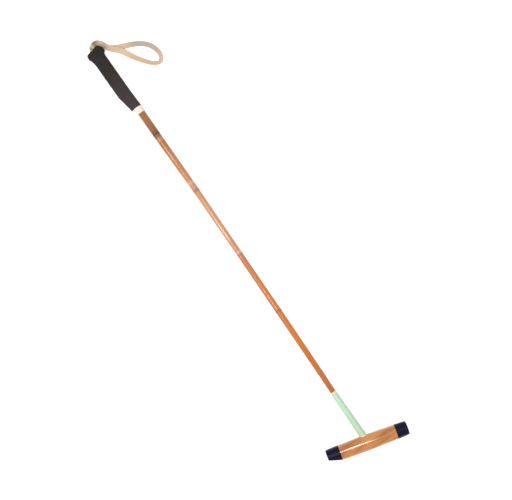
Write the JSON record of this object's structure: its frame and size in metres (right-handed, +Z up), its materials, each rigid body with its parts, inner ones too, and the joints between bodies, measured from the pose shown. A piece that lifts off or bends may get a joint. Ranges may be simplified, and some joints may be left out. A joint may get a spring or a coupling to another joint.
{
  "type": "polo mallet",
  "caption": "Long cane mallet with a cigar-shaped wooden head set askew, a wrapped grip with a flared butt, and a looped wrist thong.",
  "frame": {"origin": "on the floor under the middle of the mallet's box, measured without the wrist thong; the mallet lies on its side", "axes": "+X along the cane from the grip to the head, +Y towards the toe of the head, +Z up, square to the plane that holds the cane and the head"},
  "size_m": [1.3629, 0.2467, 0.0434],
  "materials": {
    "cane_wood": "varnished manau cane, satin gloss, darker rings at the nodes",
    "head_wood": "clear-varnished hardwood, glossy, grain along the head",
    "wedge_wood": "plain hardwood, end grain, varnished with the head",
    "cap_film": "near-black navy, semi-gloss",
    "cream_tape": "cream adhesive cloth tape",
    "mint_tape": "pale mint cloth tape, satin",
    "white_tape": "white adhesive cloth tape",
    "grip_wood": "plain unvarnished wood, hidden",
    "grip_rubber": "dark grey-brown rubber wrap, matt",
    "butt_rubber": "black rubber, matt",
    "webbing": "undyed cotton webbing",
    "brass_pin": "plain brass pin, hidden"
  },
  "bodies": {
    "mallet": {"cane": "cane_wood", "head_barrel": "head_wood", "head_wedge": "wedge_wood", "heel_cap": "cap_film", "toe_cap": "cap_film", "sleeve_base_tape": "cream_tape", "sleeve_overwrap": "mint_tape", "collar_packing": "cream_tape", "collar_tape": "white_tape", "grip_cheek_upper": "grip_wood", "grip_cheek_lower": "grip_wood", "grip_wrap": "grip_rubber", "butt_cap": "butt_rubber", "thong_tail": "webbing", "thong_pins": "brass_pin"},
    "thong": {"thong": "webbing"}
  },
  "joints": [
    {"name": "thong_swing", "type": "hinge", "parent": "mallet", "child": "thong", "pos_m": [-0.67058, -0.02, 0.0217], "axis": [0, 0, 1], "range_deg": [0, 80]}
  ]
}
